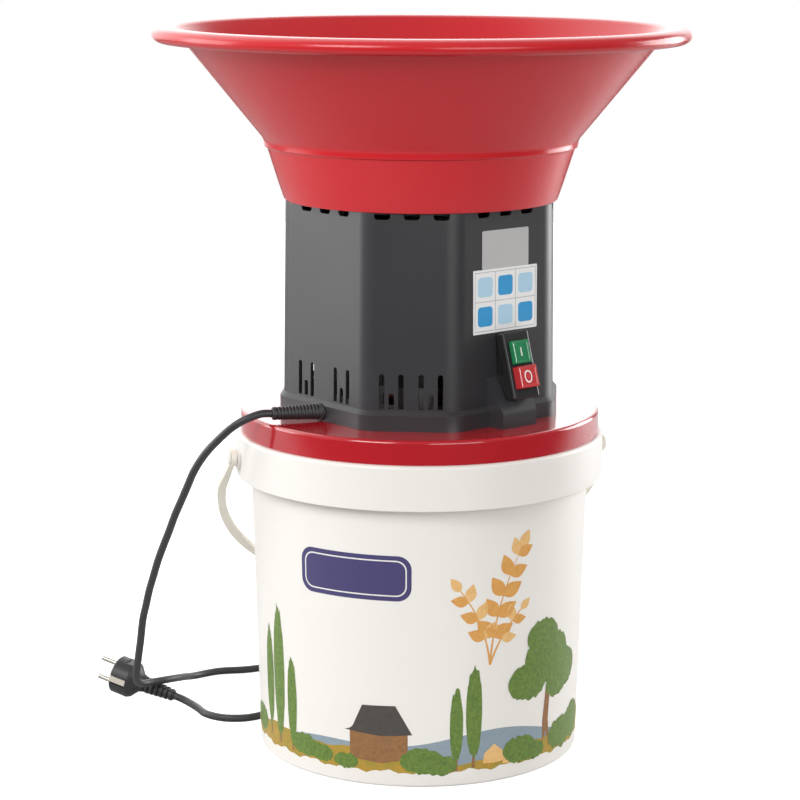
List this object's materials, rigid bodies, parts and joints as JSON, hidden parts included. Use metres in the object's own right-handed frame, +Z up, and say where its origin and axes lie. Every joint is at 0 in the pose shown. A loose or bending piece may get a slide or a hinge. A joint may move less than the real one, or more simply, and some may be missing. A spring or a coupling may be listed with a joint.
{
  "type": "electric grain mill",
  "caption": "Electric hammer mill for grain: a motor head with a wide feed hopper and a push-button switch, standing on a lidded flour pail with a bail handle.",
  "frame": {"origin": "centre of the pail's foot, on the floor", "axes": "+Z up along the pail and the motor shaft; the housing's front face looks along -Y, the switch console looks along +X -Y, the strain relief leaves on the -X -Y side"},
  "size_m": [0.5515, 0.4793, 0.6464],
  "materials": {
    "pail": "satin moulded off-white plastic with a printed pattern",
    "bail": "smooth cream plastic",
    "red_paint": "glossy deep red enamel",
    "housing": "satin dark grey plastic",
    "hopper": "glossy red plastic",
    "light_plastic": "plain grey plastic",
    "steel": "zinc plated or bare steel",
    "cast_alloy": "cast or drawn aluminium",
    "laminations": "stacked electrical steel",
    "enamelled_copper": "varnished copper wire",
    "black_plastic": "black plastic",
    "white_plastic": "white plastic",
    "cord_rubber": "black flexible vinyl",
    "plated_pins": "nickel plated",
    "green_button": "green plastic with an I mark",
    "red_button": "red plastic with an O mark",
    "silver_label": "blank silver-grey film",
    "white_label": "white film with plain blue tiles"
  },
  "bodies": {
    "pail": {"pail": "pail", "pail_band": "pail", "cord_run": "cord_rubber", "cord_coil": "cord_rubber", "cord_lead": "cord_rubber", "plug_body": "cord_rubber", "plug_pins": "plated_pins", "plug_earth_clips": "plated_pins"},
    "bail": {"bail": "bail"},
    "gate": {"gate": "steel"},
    "rotor": {"rotor_core": "laminations", "rotor_cage": "cast_alloy", "shaft": "steel", "cooling_fan": "black_plastic", "lower_beater": "steel", "upper_beater": "steel", "beater_spacer": "steel", "beater_washer": "steel", "beater_nut": "steel"},
    "on_button": {"on_button": "green_button"},
    "off_button": {"off_button": "red_button"},
    "head": {"lid_plate": "red_paint", "housing": "housing", "housing_screws": "steel", "hopper": "hopper", "hopper_screws": "steel", "feed_chute": "light_plastic", "gate_rails": "light_plastic", "gate_screws": "steel", "motor_lower_shield": "cast_alloy", "stator_core": "laminations", "stator_winding": "enamelled_copper", "motor_upper_shield": "cast_alloy", "motor_bolts": "steel", "motor_mount_bolts": "steel", "lower_bearing": "steel", "upper_bearing": "steel", "capacitor": "cast_alloy", "capacitor_cup": "black_plastic", "terminal_block": "white_plastic", "motor_leads": "cord_rubber", "cord_stub": "cord_rubber", "sieve_ring": "steel", "chamber_floor": "steel", "chamber_studs": "steel", "wing_nuts": "steel", "stud_washers": "steel", "switch_body": "black_plastic", "switch_bezel": "black_plastic", "rating_label": "silver_label", "info_sticker": "white_label", "strain_relief": "cord_rubber", "cord_hanging": "cord_rubber"}
  },
  "joints": [
    {"name": "bail_swing", "type": "hinge", "parent": "pail", "child": "bail", "pos_m": [0, 0, 0.268], "axis": [0.9613, 0.2756, 0], "range_deg": [0, 97]},
    {"name": "head_lift", "type": "slide", "parent": "pail", "child": "head", "axis": [0, 0, 1], "range_m": [0, 0.17]},
    {"name": "rotor_spin", "type": "hinge", "parent": "head", "child": "rotor", "pos_m": [0, 0, 0.33], "axis": [0, 0, 1], "continuous": true},
    {"name": "gate_slide", "type": "slide", "parent": "head", "child": "gate", "axis": [0, 1, 0], "range_m": [0, 0.036]},
    {"name": "on_press", "type": "slide", "parent": "head", "child": "on_button", "axis": [-0.678, 0.678, -0.284], "range_m": [0, 0.003], "stiffness_N_per_m": 300, "springref_m": -0.002},
    {"name": "off_press", "type": "slide", "parent": "head", "child": "off_button", "axis": [-0.678, 0.678, -0.284], "range_m": [0, 0.003], "stiffness_N_per_m": 300, "springref_m": -0.002}
  ]
}
